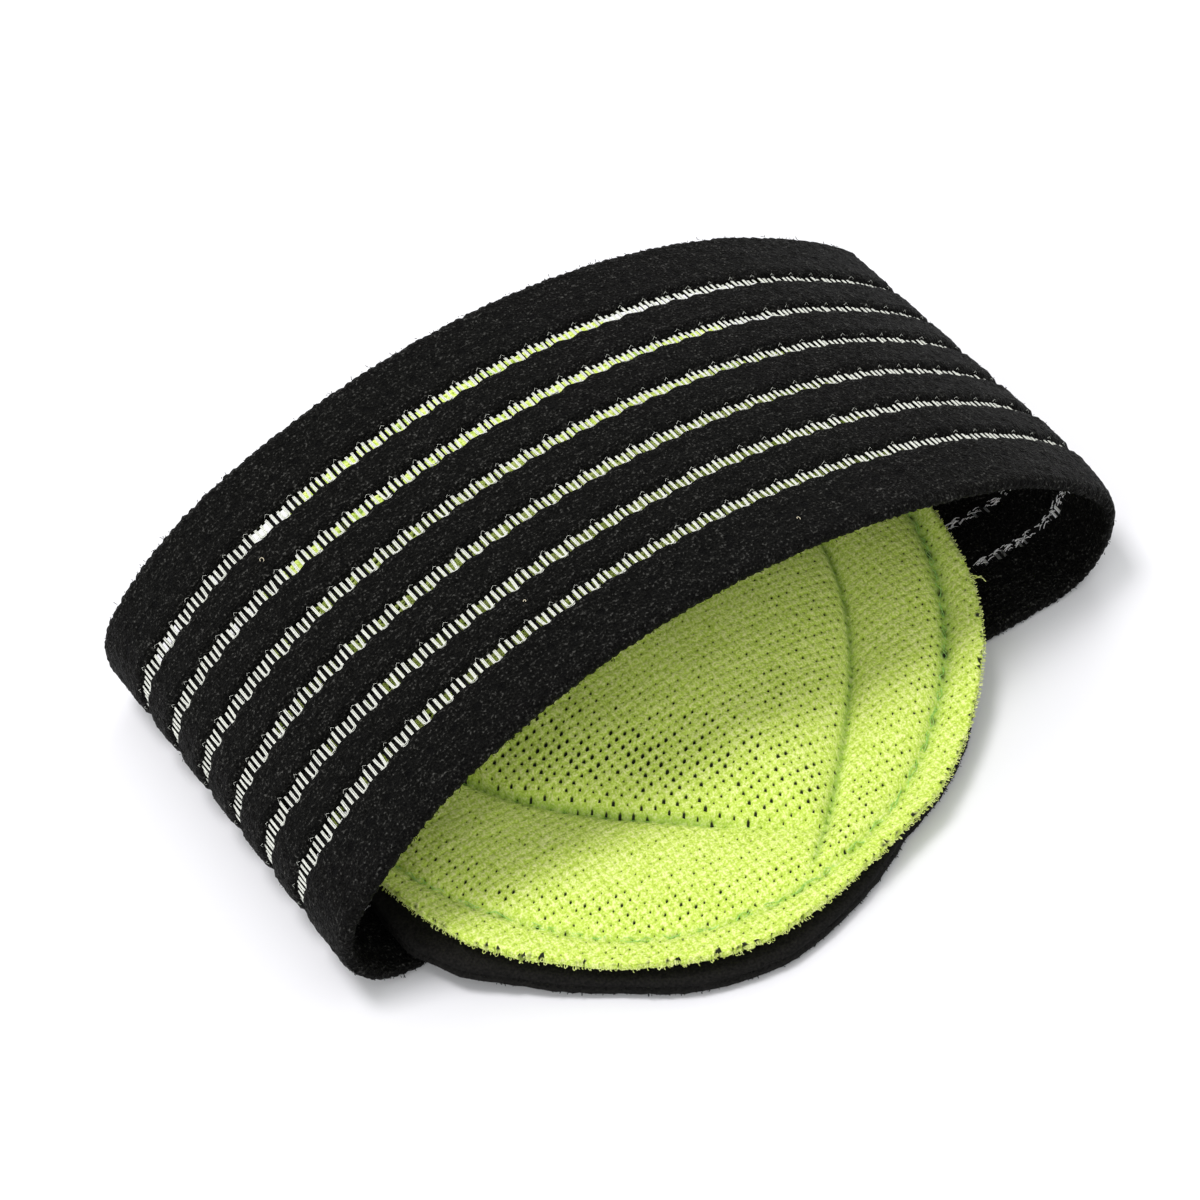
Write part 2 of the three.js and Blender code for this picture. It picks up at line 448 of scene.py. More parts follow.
def knit_strips():
    """All seven strips, whose points carry their place on the tape as a UV."""
    bm = bmesh.new()
    uv = bm.loops.layers.uv.new("tape")
    for i in range(LADDER_COUNT + 1):
        add_strip(bm, uv, i, OUTER_FACE_STEPS if i in (0, LADDER_COUNT) else FACE_STEPS)
    bmesh.ops.remove_doubles(bm, verts=bm.verts, dist=WELD_GAP)
    bmesh.ops.recalc_face_normals(bm, faces=bm.faces)
    return mesh_from(bm)


DIMPLE_LINE = 19.9 * MM
DIMPLE_RADIUS = 0.50 * MM


def black_boucle():
    """Black looped yarn: deep and matt, with a grain of tiny loops, painted glints on a few specks of
    it, courses that lie aslant, and a row of dimples along each edge that are darkened with painted
    shade."""
    material, shader = new_material("black_boucle", Roughness=0.6, Specular_IOR_Level=0.05)
    grain = add_noise(material, 0.26, 3.0)
    place = add_node(material, "TexCoord").outputs["Object"]
    loops = add_node(material, "TexVoronoi", {"Scale": 1 / (0.30 * MM)}, Vector=place)
    on_tape = add_node(material, "UVMap", {"uv_map": "tape"}).outputs["UV"]
    lie = {"Rotation": (0, 0, math.radians(35)), "Scale": (1 / (1.6 * MM), 1 / (0.45 * MM), 1)}
    aslant = add_node(material, "Mapping", lie, Vector=on_tape).outputs[0]
    courses = add_node(material, "TexNoise", {"Scale": 1.0, "Detail": 2.0}, Vector=aslant)
    spot = add_node(material, "SeparateXYZ", Vector=on_tape)
    beside = add_math(material, "PINGPONG", spot.outputs["X"], SCALLOP / 2)
    from_middle = add_math(material, "ABSOLUTE", spot.outputs["Y"])
    off_line = add_math(material, "SUBTRACT", from_middle, DIMPLE_LINE)
    offset = add_node(material, "CombineXYZ", X=beside, Y=off_line).outputs[0]
    away = add_node(material, "VectorMath", {"operation": "LENGTH"}, Vector=offset)
    dimple = add_node(
        material,
        "MapRange",
        {"From Min": 0.3 * DIMPLE_RADIUS, "From Max": DIMPLE_RADIUS, "To Min": 1.0, "To Max": 0.0},
        Value=away.outputs["Value"],
    ).outputs[0]
    both = add_math(material, "MULTIPLY_ADD", courses.outputs["Fac"], 0.35, grain)
    # The dimples darken the colour, as painted shade in them, and also sink the bump.
    sunk = add_math(material, "MULTIPLY_ADD", dimple, -0.50, both)
    # The palest tone is a painted glint on the highest specks of the grain.
    tones = [(0.50, "#050505"), (0.64, "#070706"), (0.78, "#151513"), (0.94, "#50504d")]
    link(add_tones(material, sunk, tones), shader.inputs["Base Color"])
    height = add_math(material, "SUBTRACT", sunk, loops.outputs["Distance"])
    add_bump(material, shader, height, 1.0, 0.30)
    return material


tape = finish_piece("elastic_tape", knit_strips(), black_boucle())
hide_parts("elastic_band")

# Clear ladder threads
# Nylon threads cross each ladder from strip to strip, three side by side as a rung, four rungs to a
# scallop. They are drawn together into a wad between two humps, and a thin loop stands at each peak.
# Black threads under them are painted shade that darkens the ladder gaps, and inside the folds their
# loose ends tangle.
THREAD_RADIUS = 0.060 * MM
THIN_SHARE = 0.28
RUNG_THREADS = [
    {"aside": -0.11, "bow": 0.03},
    {"aside": 0.0, "bow": 0.07},
    {"aside": 0.11, "bow": 0.02},
]
THREAD_TUCK = 0.30 * MM
VALLEY_PULL = 0.6
VALLEY_REACH = 0.6 * MM
WAD_THREADS = 4
TANGLES_PER_SCALLOP = 3
TANGLE_THREADS = 12
SHADE_FLOAT_RADIUS = 0.11 * MM
SHADE_FLOAT_DEPTH = 1.15 * MM
# How often a black thread of painted shade crosses under each gap of a scallop, from its peak on
SHADE_FLOAT_CHANCES = [1.0, 0.7, 0.2, 0.6]
CROWN_STRETCH = 34 * MM
FOLD_START = 22 * MM
# Spans in mm that the sizes of each kind of thread are drawn from
RUNG = {"lean": (-0.05, 0.05), "sink": (-0.15, 0.05)}
WAD = {"half": (0.30, 0.55), "rise": (0.02, 0.30), "lift": (0.0, 0.25)}
PEAK = {"half": (0.18, 0.34), "rise": (0.05, 0.20)}
TANGLE = {"start": (-0.6, 0.6), "half": (0.12, 0.45), "across": (-0.50, 0.40), "lift": (-0.05, 0.20)}


def some(chance, span):
    """A random length within a span of mm."""
    return chance.uniform(*span) * MM


def add_thread(curve, points, thickness=1.0):
    """One thread as a line of straight bits through the points."""
    spline = curve.splines.new("POLY")
    spline.points.add(len(points) - 1)
    for target, point in zip(spline.points, points):
        target.co = (*point, 1)
        target.radius = thickness


def mesh_of_threads(radius, lay, *details):
    """The threads that a function lays along a curve, as one mesh of closed tubes."""
    curve = bpy.data.curves.new("threads", "CURVE")
    curve.dimensions = "3D"
    curve.bevel_depth = radius
    curve.bevel_resolution = 0
    curve.use_fill_caps = True
    lay(curve, *details)
    holder = put("holder", curve)
    bpy.context.view_layer.update()
    evaluated = holder.evaluated_get(bpy.context.evaluated_depsgraph_get())
    mesh = bpy.data.meshes.new_from_object(evaluated)
    bpy.data.objects.remove(holder)
    bpy.data.curves.remove(curve)
    for polygon in mesh.polygons:
        polygon.use_smooth = True
    return mesh


def ladder_sides(i, along):
    """Where a thread across ladder i starts and ends, tucked into the strips."""
    return front_edge(i, along) - THREAD_TUCK, back_edge(i, along) + THREAD_TUCK


def string_rung(curve, i, middle, chance):
    """Three threads across ladder i, which lean towards the nearest valley on its front side."""
    valley = (math.floor(middle / SCALLOP) + 0.5) * SCALLOP
    near = abs(valley - middle) < VALLEY_REACH
    pull = VALLEY_PULL * chance.random() * (valley - middle) if near else 0.0
    lean = some(chance, RUNG["lean"])
    depth = TAPE_THICKNESS / 2 + some(chance, RUNG["sink"])
    for thread in RUNG_THREADS:
        along = middle + (thread["aside"] + chance.uniform(-0.015, 0.015)) * MM
        low, high = ladder_sides(i, along)
        points = []
        for share in (0.0, 0.35, 0.65, 1.0):
            arc = 4 * share * (1 - share) * thread["bow"] * MM
            aside = lean * (share - 0.5) + pull * (1 - share) ** 2 + 0.4 * arc
            points.append(loop_place(along + aside, low + (high - low) * share, depth - arc))
        add_thread(curve, points)


def string_valley(curve, i, valley, chance):
    """A wad of short threads that runs along the front side of ladder i between two humps."""
    for _ in range(WAD_THREADS):
        half, rise, lift = (some(chance, WAD[name]) for name in ("half", "rise", "lift"))
        points = []
        for share in (-1.0, -0.4, 0.4, 1.0):
            along = valley + share * half
            across = front_edge(i, valley) + rise + 0.22 * MM * share * share
            points.append(loop_place(along, across, TAPE_THICKNESS / 2 - lift))
        add_thread(curve, points, 0.9)


def string_peak(curve, i, peak, chance):
    """A thin loop that stands up where the strip behind ladder i comes to a point."""
    half = some(chance, PEAK["half"])
    rise = some(chance, PEAK["rise"])
    points = []
    for share in (-1.0, 0.0, 1.0):
        across = back_edge(i, peak) - 0.15 * MM + rise * (1 - abs(share))
        depth = 0.30 * MM - 0.2 * MM * (1 - abs(share))
        points.append(loop_place(peak + share * half, across, depth))
    add_thread(curve, points, THIN_SHARE)


def string_tangle(curve, i, middle, chance):
    """Loose ends of thread that lie in a tangle on the inside of ladder i."""
    for _ in range(chance.randrange(TANGLE_THREADS)):
        start = middle + some(chance, TANGLE["start"])
        half = some(chance, TANGLE["half"])
        across = ladder_middle(i) + some(chance, TANGLE["across"])
        slant = chance.uniform(-0.5, 0.5) * half
        depth = TAPE_THICKNESS - some(chance, TANGLE["lift"])
        points = []
        for share in (-1.0, 0.0, 1.0):
            bow = 0.12 * MM * (1 - abs(share))
            points.append(loop_place(start + share * half, across + share * slant, depth + bow))
        add_thread(curve, points, chance.uniform(0.5, 1.0))


def string_ladder(curve, i, chance):
    """All the clear thread of ladder i, round the whole loop."""
    rungs = SCALLOPS * RUNGS_PER_SCALLOP
    for rung in range(rungs):
        string_rung(curve, i, LOOP_GIRTH * (rung + 0.5) / rungs, chance)
    for scallop in range(SCALLOPS):
        string_valley(curve, i, (scallop + 0.5) * SCALLOP, chance)
        string_peak(curve, i, scallop * SCALLOP, chance)


def tangle_ladders(curve, chance):
    """The tangles inside both folds, where the tape is bent and its threads are slack."""
    for i in range(LADDER_COUNT):
        for step in range(SCALLOPS * TANGLES_PER_SCALLOP):
            middle = SCALLOP * (step + chance.random()) / TANGLES_PER_SCALLOP
            if CROWN_STRETCH < abs(middle - LOOP_GIRTH / 2) < LOOP_GIRTH / 2 - FOLD_START:
                string_tangle(curve, i, middle, chance)


def shade_ladder_gaps(curve, chance):
    """Black threads that cross under the gaps between rungs as painted shade: under some of them over
    the crown, where the cushion shows through, and under most of the rungs too past it."""
    for i in range(LADDER_COUNT):
        for gap in range(SCALLOPS * RUNGS_PER_SCALLOP):
            middle = LOOP_GIRTH * gap / (SCALLOPS * RUNGS_PER_SCALLOP)
            over_crown = abs(middle - LOOP_GIRTH / 2) < CROWN_STRETCH
            if chance.random() > SHADE_FLOAT_CHANCES[gap % RUNGS_PER_SCALLOP] and over_crown:
                continue
            under_rung = [] if over_crown or chance.random() > 0.7 else [0.27, 0.45]
            for aside in [-0.09, 0.09] + under_rung:
                along = middle + (aside + chance.uniform(-0.03, 0.03)) * MM
                ends = [loop_place(along, across, SHADE_FLOAT_DEPTH) for across in ladder_sides(i, along)]
                add_thread(curve, ends)


def black_yarn_and_shade_floats():
    """Black polyester fibre: matt, a little uneven in tone from one end to the next. The black threads
    of painted shade under the ladders use it too.
    """
    tones = [(0.0, "#060606"), (1.0, "#1c1c1b")]
    return mottled("black_yarn_and_shade_floats", 2.0, tones, Roughness=0.7, Specular_IOR_Level=0.1)


def clear_nylon():
    """Clear nylon thread: nearly white, and it shines along its length."""
    values = {"Roughness": 0.25, "IOR": 1.53, "Transmission_Weight": 0.25}
    return new_material("clear_nylon", Base_Color=linear("#f3f6ec"), **values)[0]


def bunched_nylon():
    """Clear nylon in a tangle: its many surfaces scatter all light, so that it looks white."""
    values = {"Roughness": 0.25, "Sheen_Weight": 0.3}
    return new_material("bunched_nylon", Base_Color=linear("#ffffff"), **values)[0]


nylon = clear_nylon()
black_yarn_and_shade = black_yarn_and_shade_floats()
thread_chance = random.Random(11)
ladders = [
    finish_piece(
        f"ladder_{i + 1}",
        mesh_of_threads(THREAD_RADIUS, string_ladder, i, thread_chance),
        nylon,
    )
    for i in range(LADDER_COUNT)
]
# The black threads under the ladders are painted shade in the ladder gaps.
shade_floats = mesh_of_threads(SHADE_FLOAT_RADIUS, shade_ladder_gaps, thread_chance)
finish_piece("ladder_shade_floats", shade_floats, black_yarn_and_shade)
tangles = mesh_of_threads(THREAD_RADIUS, tangle_ladders, thread_chance)
finish_piece("ladder_tangles", tangles, bunched_nylon())

# Fuzz and lint
# Ends of the tape's yarn stand out along its edges and over its face, and three curled bits of pale
# lint cling to it.
FIBRE_RADIUS = 0.030 * MM
EDGE_FIBRES = 1500
FACE_FIBRES = 1300
EDGE_ROOT = 0.15 * MM
# Spans in mm
EDGE_FUZZ = {"depth": (0.1, 1.3), "length": (0.15, 0.38)}
FACE_FUZZ = {"length": (0.12, 0.30)}
# Places on the tape and sizes in mm
LINT = [
    {"along": 144.5, "across": 12.5, "curl": 0.20},
    {"along": 101.0, "across": -21.5, "curl": 0.14},
    {"along": 128.0, "across": -13.0, "curl": 0.12},
]


def scatter(chance):
    """A random step to any side, at most 1 along each axis."""
    return Vector([chance.uniform(-1, 1) for _ in range(3)])


def loop_outward(along):
    """The direction that the tape's outside faces."""
    return (loop_place(along, 0, 0) - loop_place(along, 0, MM)).normalized()


def add_fibre(curve, root, direction, length, chance, thickness=1.0):
    """One stray fibre that bends over at random."""
    direction = direction.normalized()
    bend = scatter(chance)
    middle = root + direction * length * 0.5 + bend * length * 0.12
    tip = root + direction * length * 0.85 + bend * length * 0.45
    points = [root, middle, tip]
    for point in points:
        point.z = max(point.z, 1.5 * FIBRE_RADIUS)
    add_thread(curve, points, thickness)


def raise_fuzz(curve, chance):
    """Yarn ends along both edges of the tape and over its outside, but not under it."""
    for _ in range(EDGE_FIBRES):
        along = chance.uniform(0, LOOP_GIRTH)
        side = chance.choice((-1, 1))
        across = selvedge(along, side) - side * EDGE_ROOT
        root = loop_place(along, across, some(chance, EDGE_FUZZ["depth"]))
        direction = Vector((0, side, 0)) + 0.7 * scatter(chance)
        add_fibre(curve, root, direction, some(chance, EDGE_FUZZ["length"]), chance, 1.2)
    for _ in range(FACE_FIBRES):
        along = chance.uniform(FLOOR_RUN / 2, LOOP_GIRTH - FLOOR_RUN / 2)
        low, high = strip_sides(chance.randrange(LADDER_COUNT + 1), along)
        root = loop_place(along, low + (high - low) * chance.uniform(0.05, 0.95), 0.05 * MM)
        direction = loop_outward(along) + 0.8 * scatter(chance)
        add_fibre(curve, root, direction, some(chance, FACE_FUZZ["length"]), chance)


def drop_lint(curve):
    """Each bit of lint is most of one turn of thread."""
    for lint in LINT:
        points = []
        for step in range(9):
            turn = 2 * math.pi * step / 11
            reach = lint["curl"] * MM
            along = lint["along"] * MM + reach * math.cos(turn)
            across = lint["across"] * MM + 1.5 * reach * math.sin(turn)
            points.append(loop_place(along, across, -0.15 * MM))
        add_thread(curve, points)


def pale_lint():
    """Undyed cotton lint: soft and cream white."""
    return new_material("pale_lint", Base_Color=linear("#e2d9bd"), Roughness=0.9)[0]


fuzz = mesh_of_threads(FIBRE_RADIUS, raise_fuzz, random.Random(23))
finish_piece("tape_fuzz", fuzz, black_yarn_and_shade)
finish_piece("lint", mesh_of_threads(FIBRE_RADIUS, drop_lint), pale_lint())

# Cushion cover
# Neon green spacer mesh, knitted with a hole at each stitch. A pointed-oval pad under its middle is
# sewn round, a second line of stitches runs near the rim, and the rim is cut and left raw.
cover_high = Vector(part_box("cushion_cover")[1])
RIM = {"middle_x": 0.0, "half_width": cover_high.x, "half_length": cover_high.y, "skew_deg": 10.0}
OUTER_LINE = {"middle_x": -1.7 * MM, "half_width": 37.5 * MM, "half_length": 41.4 * MM, "skew_deg": 7.7}
COVER_THICKNESS = 1.3 * MM
BACKING_THICKNESS = 2.4 * MM
LAYER_GAP = 0.3 * MM
DROOP_START = 1.5 * MM
DROOP_RUN = 12 * MM
DOME_MIDDLE_X = -2.8 * MM
DOME_TURN = math.radians(-4.2)
DOME_HALF_WIDTH = 26.4 * MM
DOME_HALF_LENGTH = 37.0 * MM
DOME_FULLNESS = 1.96
DOME_RISE = 5.2 * MM
DOME_ROUNDNESS = 0.55
FLANGE_PUFF = 0.9 * MM
PUFF_ROUNDNESS = 0.8
RIM_FLARE = 0.5 * MM
RIM_MARGIN = 4.0 * MM
EDGE_DROP = 0.7 * MM
SEAM_DEPTH = 0.50 * MM
SEAM_SPREAD = 0.60 * MM
SEAM_FADE = 9 * MM
OUTER_DEPTH = 0.85 * MM
OUTER_SPREAD = 0.50 * MM
PIT_COUNT = 78
PIT_RADIUS = 0.34 * MM
PIT_DEPTH = 0.5 * MM
# How far the cut rim lies outside its oval in mm, by direction in degrees from the right
RIM_CUT = [
    (-175, 0.0), (-156, 0.9), (-143, 1.9), (-136, 1.2), (-131, 0.3), (-120, 0.0),
    (-108, 0.2), (-98, -0.8), (-90, -1.3), (-82, -1.0), (-74, 0.0), (-60, 0.4),
    (-47, 0.7), (-35, 0.2), (-24, -0.8), (-15, -1.6), (15, 0.0),
]
STITCH_CELL = 1.0 * MM
HOLE_RADIUS = 0.30 * MM
HOLE_DEPTH = 0.95 * MM
YARN_RELIEF = 0.10 * MM
ZIGZAG = 0.17 * MM
# How high each of a stitch's points stands, by row and column: its yarn is knotted at the corners
# between four holes, and runs from knot to knot in a zigzag
STITCH_RELIEF = np.array([
    [1.0, 0.8, 0.45, 0.8],
    [0.75, 0.3, 0.1, 0.3],
    [0.45, 0.1, 0.0, 0.1],
    [0.75, 0.3, 0.1, 0.3],
])
UNEVENNESS = 0.08 * MM
STITCH_WANDER = 0.12
NICK_PITCH = 0.95 * MM
NICK_DEPTH = 0.60 * MM
# Where the outer line starts to be sewn tighter, and how long that takes
TIGHT_START = 6 * MM
TIGHT_RUN = 20 * MM
# Keeps a division by a length of nothing finite
TINY = 1e-9


def smooth_share(value):
    """ease() for arrays."""
    value = np.clip(value, 0, 1)
    return value * value * (3 - 2 * value)


def sewn_tightness(x):
    """How tight the outer line is sewn: more so towards the right."""
    return smooth_share((x - TIGHT_START) / TIGHT_RUN)


def underside_height(y):
    """The cushion lies on the tape inside the loop, and sinks to the floor past it."""
    past = (np.abs(y) - TAPE_EDGE - DROOP_START) / DROOP_RUN
    return (TAPE_THICKNESS + LAYER_GAP) * (1 - smooth_share(past))


def oval_share(x, y, oval):
    """How far out a point is, from 0 in an oval's middle to 1 on its outline."""
    u = (x - oval["middle_x"]) / oval["half_width"]
    v = y / oval["half_length"]
    skew = math.radians(oval["skew_deg"])
    return np.sqrt(np.maximum(u * u + v * v - 2 * math.sin(skew) * u * v, 0)) / math.cos(skew)


def cut_past_oval(x, y, cut):
    """How far outside the rim's oval a cut lies in a point's direction."""
    directions, lengths = zip(*cut)
    return np.interp(np.degrees(np.arctan2(y, x)), directions, lengths) * MM


def oval_inside(x, y, oval):
    """How far inside an oval's outline a point is, in metres."""
    step = 0.01 * MM
    share = oval_share(x, y, oval)
    slope_x = (oval_share(x + step, y, oval) - share) / step
    slope_y = (oval_share(x, y + step, oval) - share) / step
    return (1 - share) / (np.hypot(slope_x, slope_y) + TINY)


def dome_axes(x, y):
    """A point's place across and along the dome."""
    x = x - DOME_MIDDLE_X
    across = x * math.cos(DOME_TURN) - y * math.sin(DOME_TURN)
    return across, x * math.sin(DOME_TURN) + y * math.cos(DOME_TURN)


def dome_share(x, y):
    """How far out a point is, from 0 in the middle to 1 on the seam round the dome."""
    across, along = dome_axes(x, y)
    across, along = np.abs(across) / DOME_HALF_WIDTH, np.abs(along) / DOME_HALF_LENGTH
    low, high = np.zeros_like(x), np.full_like(x, 4.0)
    for _ in range(30):
        share = (low + high) / 2
        outside = across / share + (along / share) ** DOME_FULLNESS > 1
        low, high = np.where(outside, share, low), np.where(outside, high, share)
    return high


def seam_lines(x, y):
    """How far outside the dome's seam a point is, and how strongly the seam pulls it down. Each
    side's seam runs on past one tip to the outer line, and fades before the other tip."""
    across, along = dome_axes(x, y)
    half = DOME_HALF_WIDTH * (1 - np.abs(along / DOME_HALF_LENGTH) ** DOME_FULLNESS)
    lean = DOME_HALF_WIDTH * DOME_FULLNESS / DOME_HALF_LENGTH * np.abs(along / DOME_HALF_LENGTH)
    past_right = (across - half) / np.hypot(1, lean)
    past_left = (-across - half) / np.hypot(1, lean)
    right = np.exp(-(past_right / SEAM_SPREAD) ** 2)
    right = right * smooth_share((DOME_HALF_LENGTH - along) / SEAM_FADE)
    left = np.exp(-(past_left / SEAM_SPREAD) ** 2)
    left = left * smooth_share((DOME_HALF_LENGTH + along) / SEAM_FADE)
    return np.maximum(past_right, past_left), np.maximum(left, right)


def cover_height(x, y):
    """The top of the green mesh without its knit, and how far its seams pull it down."""
    dome = dome_share(x, y)
    past_seam, seam = seam_lines(x, y)
    inside = oval_inside(x, y, OUTER_LINE)
    top = underside_height(y) + BACKING_THICKNESS + LAYER_GAP + COVER_THICKNESS
    rise = DOME_RISE * np.clip(1 - dome * dome, 0, 1) ** DOME_ROUNDNESS
    past_seam, to_line = np.clip(past_seam, 0, None), np.clip(inside, 0, None)
    ring = past_seam / (past_seam + to_line + TINY)
    puff = FLANGE_PUFF * np.sin(math.pi * ring) ** PUFF_ROUNDNESS
    flare = RIM_FLARE * smooth_share(-inside / RIM_MARGIN)
    tightness = sewn_tightness(x)
    outer = np.exp(-(inside / (OUTER_SPREAD * (1 + 1.3 * tightness))) ** 2)
    seam = seam * smooth_share(inside / (2 * MM))
    pull = OUTER_DEPTH * (0.5 + 0.5 * tightness)
    height = top + rise + puff + flare - SEAM_DEPTH * seam - pull * outer
    # The second value darkens the colour along the seams and the outer line: painted shade in their
    # grooves.
    return height, np.maximum(seam, (0.75 + 0.25 * tightness) * outer)


def needle_pits(x, y, luck):
    """How deep in a needle hole of the outer line a point is, from 0 to 1."""
    inside = oval_inside(x, y, OUTER_LINE)
    turn = np.arctan2(y, x - OUTER_LINE["middle_x"]) / (2 * math.pi) * PIT_COUNT
    nearest = np.rint(turn)
    beside = (turn - nearest) * 2 * math.pi / PIT_COUNT * np.hypot(x, y)
    pit = np.exp(-(inside ** 2 + (0.6 * beside) ** 2) / PIT_RADIUS ** 2)
    return pit * luck[nearest.astype(int) % PIT_COUNT] * (0.4 + 0.6 * sewn_tightness(x))


def hole_opening(x, y, luck):
    """How far each stitch's hole is drawn open: wide on the dome's left flank, less on its right
    and along the outer line, and nearly closed elsewhere."""
    dome = dome_share(x, y)
    inside = oval_inside(x, y, OUTER_LINE)
    leftness = smooth_share(0.5 - x / (24 * MM))
    flank = np.exp(-((dome - 0.84) / 0.26) ** 2) * np.where(dome < 1, 1, 0)
    edge = np.exp(-((inside - 2.2 * MM) / (2.2 * MM)) ** 2) * np.where(dome > 1, 1, 0)
    opening = 0.36 + 0.54 * flank * (0.30 + 0.70 * leftness) + 0.26 * edge * (0.5 + 0.5 * leftness)
    return np.clip(opening + 0.50 * (luck - 0.55), 0.10, 1)


def knit_cover():
    """A grid with four columns and four rows to a stitch, one of whose points is its hole."""
    cells_x = 2 * math.ceil(RIM["half_width"] / STITCH_CELL) + 2
    cells_y = 2 * math.ceil(RIM["half_length"] / STITCH_CELL) + 2
    bm = bmesh.new()
    bmesh.ops.create_grid(bm, x_segments=4 * cells_x, y_segments=4 * cells_y, size=1)
    spots = np.array([vert.co[:2] for vert in bm.verts])
    column = np.rint((spots[:, 0] + 1) / 2 * 4 * cells_x).astype(int)
    row = np.rint((spots[:, 1] + 1) / 2 * 4 * cells_y).astype(int)
    # Parts 0 to 3 of a cell are its border, one side of its hole, the hole and its other side.
    cell_x, part_x = np.divmod(column, 4)
    cell_y, part_y = np.divmod(row, 4)
    chance = np.random.default_rng(5)
    luck = chance.random((3, cells_x + 1, cells_y + 1))[:, cell_x, cell_y]
    middle_x = (cell_x + 0.5 - cells_x / 2 + STITCH_WANDER * (luck[1] - 0.5)) * STITCH_CELL
    middle_y = (cell_y + 0.5 - cells_y / 2 + STITCH_WANDER * (luck[2] - 0.5)) * STITCH_CELL
    opening = hole_opening(middle_x, middle_y, luck[0])
    radius = HOLE_RADIUS * opening
    side = np.array([0, -1, 0, 1])
    border_x = (cell_x - cells_x / 2) * STITCH_CELL
    border_y = (cell_y - cells_y / 2) * STITCH_CELL + ZIGZAG * np.array([-1, 0, 1, 0])[part_x]
    x = np.where(part_x == 0, border_x, middle_x + side[part_x] * radius)
    y = np.where(part_y == 0, border_y, middle_y + side[part_y] * radius)
    z, seam = cover_height(x, y)
    pit = needle_pits(x, y, 0.2 + 0.8 * chance.random(PIT_COUNT))
    is_hole = (part_x == 2) & (part_y == 2)
    crest = STITCH_RELIEF[part_y, part_x] * (0.8 + 0.4 * luck[1])
    z = z - np.where(is_hole, HOLE_DEPTH * opening, 0) - PIT_DEPTH * pit
    z = z + YARN_RELIEF * (0.3 + 0.7 * opening) * (crest - 0.4) + UNEVENNESS * (luck[2] - 0.5)
    past = cut_past_oval(x, y, RIM_CUT) / (np.hypot(x, y) + TINY)
    keep = oval_share(x, y, RIM) * (1 - past) <= 1.0
    layers = {name: bm.verts.layers.float.new(name) for name in ("hole", "seam", "crest")}
    # How dark each point is: in open holes partly the black backing showing through and partly painted
    # shade, and in the needle pits painted shade.
    hole = np.maximum(np.where(is_hole, opening, 0.0), 0.4 * pit)
    values = {"hole": hole, "seam": seam, "crest": crest}
    for i, vert in enumerate(bm.verts):
        vert.co = (x[i], y[i], z[i])
        for name, layer in layers.items():
            vert[layer] = values[name][i]
    bmesh.ops.delete(bm, geom=[v for v, kept in zip(bm.verts, keep) if not kept], context="VERTS")
    bmesh.ops.delete(bm, geom=[v for v in bm.verts if not v.link_faces], context="VERTS")
    trim_rim(bm, layers["hole"], chance)
    close_underside(bm, layers["hole"])
    bmesh.ops.recalc_face_normals(bm, faces=bm.faces)
    return mesh_from(bm)


def trim_rim(bm, hole, chance):
    """Moves the raw edge's points onto the cut, with a nick wherever it met a hole. The nicks are
    small at the sides, where the cut runs along the knit."""
    edge = [vert for vert in bm.verts if vert.is_boundary]
    x = np.array([vert.co.x for vert in edge])
    y = np.array([vert.co.y for vert in edge])
    around = np.arctan2(y, x) * np.hypot(x, y)
    luck = chance.random(len(edge))
    depth = NICK_DEPTH * (0.2 + 0.8 * smooth_share((np.abs(y) - 18 * MM) / (14 * MM)))
    nick = np.where((around / NICK_PITCH) % 1 < 0.3, depth * luck * luck, 0.10 * MM * luck)
    scale = 1 / oval_share(x, y, RIM) + (cut_past_oval(x, y, RIM_CUT) - nick) / np.hypot(x, y)
    x, y = x * scale, y * scale
    z, _ = cover_height(x, y)
    for vert, spot, cut in zip(edge, zip(x, y, z), nick):
        vert.co = spot
        # Each nick is darkened with painted shade.
        vert[hole] = min(1.0, cut / NICK_DEPTH)


def draw_on(bm, edges):
    """Extrudes an open edge. Gives its new points and its new edges."""
    made = bmesh.ops.extrude_edge_only(bm, edges=edges)["geom"]
    verts = [g for g in made if isinstance(g, bmesh.types.BMVert)]
    return verts, [g for g in made if isinstance(g, bmesh.types.BMEdge) and g.is_boundary]


def close_underside(bm, hole):
    """Turns the raw edge down and in, and closes the cover underneath."""
    rim_edges = [edge for edge in bm.edges if edge.is_boundary]
    for drop, pull in ((EDGE_DROP, 1.0), (0, 0.985), (0, 0.8), (0, 0.7)):
        verts, rim_edges = draw_on(bm, rim_edges)
        for vert in verts:
            vert.co.x *= pull
            vert.co.y *= pull
            under = float(underside_height(vert.co.y)) + BACKING_THICKNESS + LAYER_GAP
            vert.co.z = vert.co.z - drop if drop else under
            vert[hole] = 0
    bmesh.ops.holes_fill(bm, edges=rim_edges)


